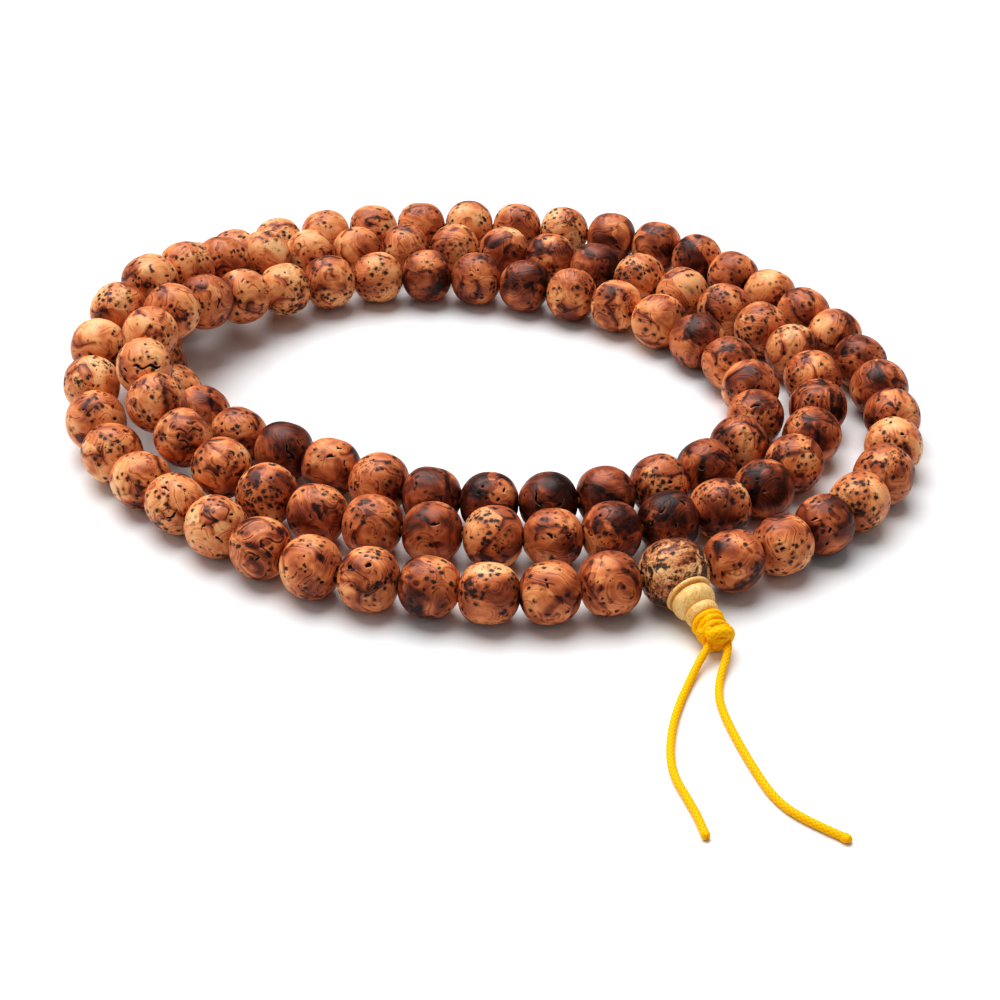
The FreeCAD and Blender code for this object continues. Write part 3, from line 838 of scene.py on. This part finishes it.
def make_seed(name, spot, axis, radius, half, look, marks, rng, fine):
    """One seed as a mesh piece, with what its material reads stored on its points."""
    around, rings = int(SEGMENTS * fine), int(RINGS * fine)
    angle = np.linspace(0, 2 * math.pi, around, endpoint=False) + rng.uniform(0, 6.3)
    right = unit(np.cross(axis, (0.1, 0.2, 1.0)))
    front = np.cross(axis, right)
    barrel = BARREL + rng.uniform(-0.12, 0.14)
    wide, high, inside = seed_profile(radius, half, rings, barrel)
    squash, egg, lean = rng.uniform(-0.02, 0.02), rng.uniform(-0.025, 0.025), rng.uniform(0, 6.3)
    shape = 1 + squash * np.cos(2 * (angle - lean))[None, :] + egg * (high / half)[:, None]
    shape = np.where(inside[:, None], 1, shape)
    cross = right * np.cos(angle)[:, None] + front * np.sin(angle)[:, None]
    local = cross[None] * (wide[:, None] * shape)[:, :, None] + axis * high[:, None, None]
    ways = local / np.linalg.norm(local, axis=2)[:, :, None]
    fade = smooth(wide, BORE_R * 1.3, BORE_R * 3.2)[:, None] * ~inside[:, None]
    lumps = waves_at(rng, local, 6, 0.35, 0.75) * 0.6 + waves_at(rng, local, 6, 0.9, 1.8) * 0.25
    deep, hollow, rim = carve(local, ways, radius, marks, spot, rng)
    keep = ~inside[:, None] * smooth(wide, BORE_R * 1.25, BORE_R * 1.6)[:, None]
    local = local + ways * (LUMP * (lumps - 0.55) * fade - deep * keep)[:, :, None]
    piece = grid_mesh(name, local + spot, closed_along=True)
    offset = np.array([rng.uniform(-500, 500) for _ in range(3)])
    # Layers run mostly round the bore, so the pattern is drawn out a little along it.
    spin = rng.uniform(0, 6.3)
    east = right * math.cos(spin) + front * math.sin(spin)
    north = front * math.cos(spin) - right * math.sin(spin)
    turned = np.stack([local @ east, local @ north, local @ axis * 0.85], -1)
    note(piece, "seed_place", (turned + offset).reshape(-1, 3))
    count = around * len(wide)
    note(piece, "bead_look", np.tile(look, (count, 1)))
    bore = np.broadcast_to(inside[:, None].astype(float), hollow.shape)
    # the hole mask here drives the painted shade inside holes and cracks, the rim and the bore
    note(piece, "hole_shade_rim_bore", np.stack([hollow * keep, rim * keep, bore, bore], -1).reshape(-1, 4))
    return piece


def look_of(kind, spot, rng):
    """A bead's look: its kind's, a little of its own, and painted light that makes it paler towards the back
    left.
    """
    light, cloud, dots, layers = LOOKS[kind]
    # paler towards the back left: painted light, set by the bead's position
    light += rng.uniform(-0.045, 0.045) + LIGHTEN + BACK_PAINTED_LIGHT * spot[1] - LEFT_PAINTED_LIGHT * spot[0]
    return (light, cloud + rng.uniform(-0.08, 0.08), dots * rng.uniform(0.8, 1.15), layers)


def make_seeds(beads, material):
    """The 108 counting beads; those in nodes of their own ride on their own bodies."""
    for number, (node, spot, axis, radius, half) in enumerate(beads, 1):
        rng = random.Random(LOOK_SEED + number * SEED_STEP)
        listed = listed_marks(number, spot)
        marks = listed + random_marks(rng, spot, bool(listed))
        body = node if node[5:].isdigit() else "strand"
        fine = FINE_MARKED if listed else FINE_PLAIN
        half = PITCH / 2 - BEAD_GAP / 2 + BEAD_VARIES * (half - radius * SWELL * BEAD_SHAPE)
        radius *= 1.0 if number in CLOSE else SWELL
        look = look_of(KINDS[number - 1], spot, rng)
        piece = make_seed("seed_%03d" % number, spot, axis, radius, half, look, marks, rng, fine)
        finish_piece(piece, body, [node], material)


def make_guru(middle, row, material):
    """The larger guru bead, drilled along the row, with one crack at its upper right."""
    rng = random.Random(LOOK_SEED)
    radius = GURU_DIAMETER / 2
    half = radius * GURU_OBLATE * math.sin(math.acos(GURU_MOUTH_R / radius))
    right, up, _ = view_axes(middle)
    marks = [("crack", unit(up * 0.5 + right * 0.75), 1.9, 1.8)]
    marks += random_marks(rng, middle, False)
    piece = make_seed("guru_seed_bead", middle, row, radius, half, GURU_LOOK, marks, rng, GURU_FINE)
    finish_piece(piece, "strand", ["guru_bead"], material)


# ---------------------------------------------------------------- tower and knot


TOWER_PROFILE = [  # radius and height above the guru bead's middle, from the seat round to the bore
    (1.45, 5.56), (2.3, 5.26), (3.0, 4.90), (3.42, 4.60), (3.60, 4.53), (3.69, 4.64), (3.70, 4.86),
    (3.62, 5.04), (3.44, 5.13), (3.20, 5.17), (3.06, 5.23), (3.00, 5.33), (3.04, 5.42), (3.15, 5.48),
    (3.28, 5.62), (3.38, 5.95), (3.42, 6.30), (3.38, 6.70), (3.24, 7.15), (3.00, 7.55), (2.72, 7.90),
    (2.46, 8.14), (2.33, 8.27), (2.36, 8.36), (2.50, 8.40), (2.62, 8.51), (2.68, 8.74), (2.66, 9.05),
    (2.58, 9.40), (2.46, 9.68), (2.30, 9.84), (2.10, 9.90), (1.93, 9.87), (1.75, 9.76), (1.55, 9.62),
    (1.45, 9.45), (1.45, 8.3), (1.45, 7.0),
]
TOWER_GROOVES = [(5.16, 5.46), (8.22, 8.42)]


def smooth_ring(profile, steps):
    """A closed line through the profile's points, with steps points between two of them."""
    points = np.array(profile)
    out = []
    for i in range(len(points)):
        a, b, c, d = (points[(i + k) % len(points)] for k in (-1, 0, 1, 2))
        for s in range(steps):
            t = s / steps
            square = (2 * a - 5 * b + 4 * c - d) * t ** 2
            cube = (3 * b - a - 3 * c + d) * t ** 3
            out.append(0.5 * (2 * b + (c - a) * t + square + cube))
    return np.array(out)


def make_tower(middle, axis, material):
    """The turned boxwood tower: its profile carried round the axis, with faint worn unevenness and tool
    marks.
    """
    rng = random.Random(TOWER_SEED)
    ring = smooth_ring(TOWER_PROFILE, 4)
    around = TOWER_AROUND
    angle = np.linspace(0, 2 * math.pi, around, endpoint=False)
    right = unit(np.cross(axis, (0, 0, 1.0)))
    front = np.cross(axis, right)
    cross = right * np.cos(angle)[:, None] + front * np.sin(angle)[:, None]
    heights = np.broadcast_to(ring[:, 1:], (len(ring), around))
    turned = [np.cos(angle)[None] * ring[:, :1], np.sin(angle)[None] * ring[:, :1], heights]
    turned = np.stack(turned, -1)
    worn = 0.012 * waves_at(rng, turned, 10, 2.0, 6.0)
    worn += 0.008 * np.sin(ring[:, 1] * 42)[:, None]  # tool marks
    wide = ring[:, :1] + worn * (ring[:, :1] > 1.6)
    points = middle + cross[None] * wide[:, :, None] + axis * ring[:, 1][:, None, None]
    piece = grid_mesh("turned_tower", points[::-1], closed_along=True)
    note(piece, "wood_place", turned[::-1].reshape(-1, 3) + 20.0)
    # how much painted shade the grooves and the bore get
    groove_shade = np.zeros(len(ring))
    for low, high in TOWER_GROOVES:
        above = smooth(ring[:, 1], low - 0.12, low + 0.05)
        below = smooth(-ring[:, 1], -high - 0.1, -high + 0.06)
        groove_shade = np.maximum(groove_shade, above * below)
    groove_shade = np.maximum(groove_shade, (ring[:, 0] < 1.9) * 0.9)
    note(piece, "wood_groove_shade", np.repeat(groove_shade[::-1], around))
    finish_piece(piece, "tower", ["guru_tower"], material)


# Each strand of the knot over and under the wraps: name, thickness, then its angle round the tower's
# axis, its height and its distance from the axis, from t = 0 to 1.
LOCKS = [
    (
        "knot_lock_left", 0.55,
        lambda t: 2.75 - 0.75 * t + 0.25 * math.sin(6.3 * t),
        lambda t: 10.45 + 4.1 * t,
        lambda t: 1.95 + 0.28 * hump(t, 3),
    ),
    (
        "knot_lock_front", 0.50,
        lambda t: 1.15 + 0.85 * t,
        lambda t: 10.9 + 3.3 * t,
        lambda t: 1.80 + 0.42 * hump(t, 2),
    ),
    (
        "knot_lock_back", 0.56,
        lambda t: 4.5 + 0.4 * t,
        lambda t: 10.45 + 4.2 * t,
        lambda t: 1.9 + 0.25 * hump(t, 2),
    ),
    (
        "knot_last_turn", 0.76,  # fat, and low on the right
        lambda t: 2.15 - 3.4 * t,
        lambda t: 14.05 + 0.55 * hump(t),
        lambda t: 1.85 - 0.1 * t,
    ),
    (
        "knot_under", 0.58,  # a short bridge under it
        lambda t: 2.2 - 1.9 * t,
        lambda t: 14.85 + 0.3 * hump(t),
        lambda t: 0.8,
    ),
]


def hump(t, count=1):
    return math.sin(math.pi * count * t) ** 2


def wrap_height(angle):
    """The height of the wraps, which rise as they go round and lean."""
    rise = WRAP_RISE * (angle - WRAP_START) / (2 * math.pi)
    return WRAP_FIRST + rise - 0.62 * math.sin(angle - 0.15)


def wrap_width(angle):
    return WRAP_R - 0.64 + 0.13 * math.sin(2.7 * angle + 1.0)


def make_knot(middle, axis, material):
    """The wrapped knot: leaning turns of the cord, the strands that lock them, and a fat last turn."""
    out = unit(np.array(CAMERA_PLACE) - middle)
    front = unit(out - axis * (out @ axis))
    right = np.cross(front, axis)
    if right[0] < 0:
        right = -right

    def at(angle, high, wide):
        return middle + (right * math.cos(angle) + front * math.sin(angle)) * wide + axis * high

    angles = np.linspace(WRAP_START, WRAP_TURNS * 2 * math.pi + WRAP_START, 260)
    wraps = np.array([at(a, wrap_height(a), wrap_width(a)) for a in angles])
    pieces = [braided_tube("knot_wraps", wraps, 0.57, 36)[0]]
    for name, thick, angle, high, wide in LOCKS:
        shares = [k / 59 for k in range(60)]
        line = np.array([at(angle(t), high(t), wide(t)) for t in shares])
        pieces.append(braided_tube(name, line, thick, 36)[0])
    core = np.array([middle + axis * (CORE_LOW + CORE_LONG * k / 39) for k in range(40)])
    pieces.append(braided_tube("knot_core", core, 1.75, 48)[0])
    for piece in pieces:
        finish_piece(piece, "strand", ["guru_knot"], material)


# ---------------------------------------------------------------- light


def soft_sun(name, place, strength, spread):
    """Even light from one side, soft as from a large panel, from the place towards the object."""
    data = bpy.data.lights.new(name, "SUN")
    data.energy = strength
    data.angle = math.radians(spread)
    light = bpy.data.objects.new(name, data)
    bpy.context.scene.collection.objects.link(light)
    light.location = place
    light.rotation_mode = "QUATERNION"
    light.rotation_quaternion = (-Vector(place)).to_track_quat("-Z", "Y")
    return light


def make_floor():
    """A wide white surface just under the object."""
    mesh = bpy.data.meshes.new("surface")
    signs = ((-1, -1), (1, -1), (1, 1), (-1, 1))
    corners = [(x * FLOOR_HALF * MM, y * FLOOR_HALF * MM, FLOOR_Z * MM) for x, y in signs]
    mesh.from_pydata(corners, [], [(0, 1, 2, 3)])
    floor = bpy.data.objects.new("surface", mesh)
    bpy.context.scene.collection.objects.link(floor)
    mesh.materials.append(floor_material())


def make_studio():
    """White surroundings and two soft suns."""
    world = bpy.data.worlds.new("studio")
    bpy.context.scene.world = world
    world.use_nodes = True
    tree = world.node_tree
    background = tree.nodes["Background"]
    background.inputs["Color"].default_value = (1, 1, 1, 1)
    # Seen directly, the studio is white; as a light, it is weaker.
    seen = tree.nodes.new("ShaderNodeLightPath").outputs["Is Camera Ray"]
    connect(tree, background.inputs["Strength"], step(tree, seen, 0.0, 1.0, WORLD_LIGHT, WORLD_SEEN))
    soft_sun("overhead", KEY_PLACE, KEY_LIGHT, KEY_SPREAD)
    soft_sun("left", SIDE_PLACE, SIDE_LIGHT, SIDE_SPREAD)
    view = bpy.context.scene.view_settings
    view.view_transform = "Standard"
    view.look = "Medium High Contrast"


# ---------------------------------------------------------------- everything


def main():
    make_camera()
    cord = cord_material()
    make_tail("tail_left", LEFT_TAIL, (1.36, 1.25, 1.5, 5), cord)
    make_tail("tail_right", RIGHT_TAIL, (1.62, 1.12, 1.9, 8), cord)

    low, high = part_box("guru_bead")
    middle = np.array((low + high) / 2) / MM
    spin = next(j for j in frame["joints"] if j["name"] == "tower_spin")
    axis = np.array(spin["axis"], float)
    seat = np.array(spin["pos_m"], float) / MM
    middle = seat + axis * ((middle - seat) @ axis)
    beads = find_beads(middle)
    row = unit(beads[0][1] - beads[-1][1])

    make_seeds(beads, seed_material("bodhi_seed", SEED_COLOURS, 0.0))
    make_guru(middle, row, seed_material("guru_seed", GURU_COLOURS, GURU_MOTTLE))
    make_tower(middle, axis, boxwood_material())
    make_knot(middle, axis, cord)
    thread = frame["nodes"]["stringing_cord"]
    thread.data.materials.clear()
    thread.data.materials.append(shaded_thread_material())
    make_floor()
    make_studio()


main()
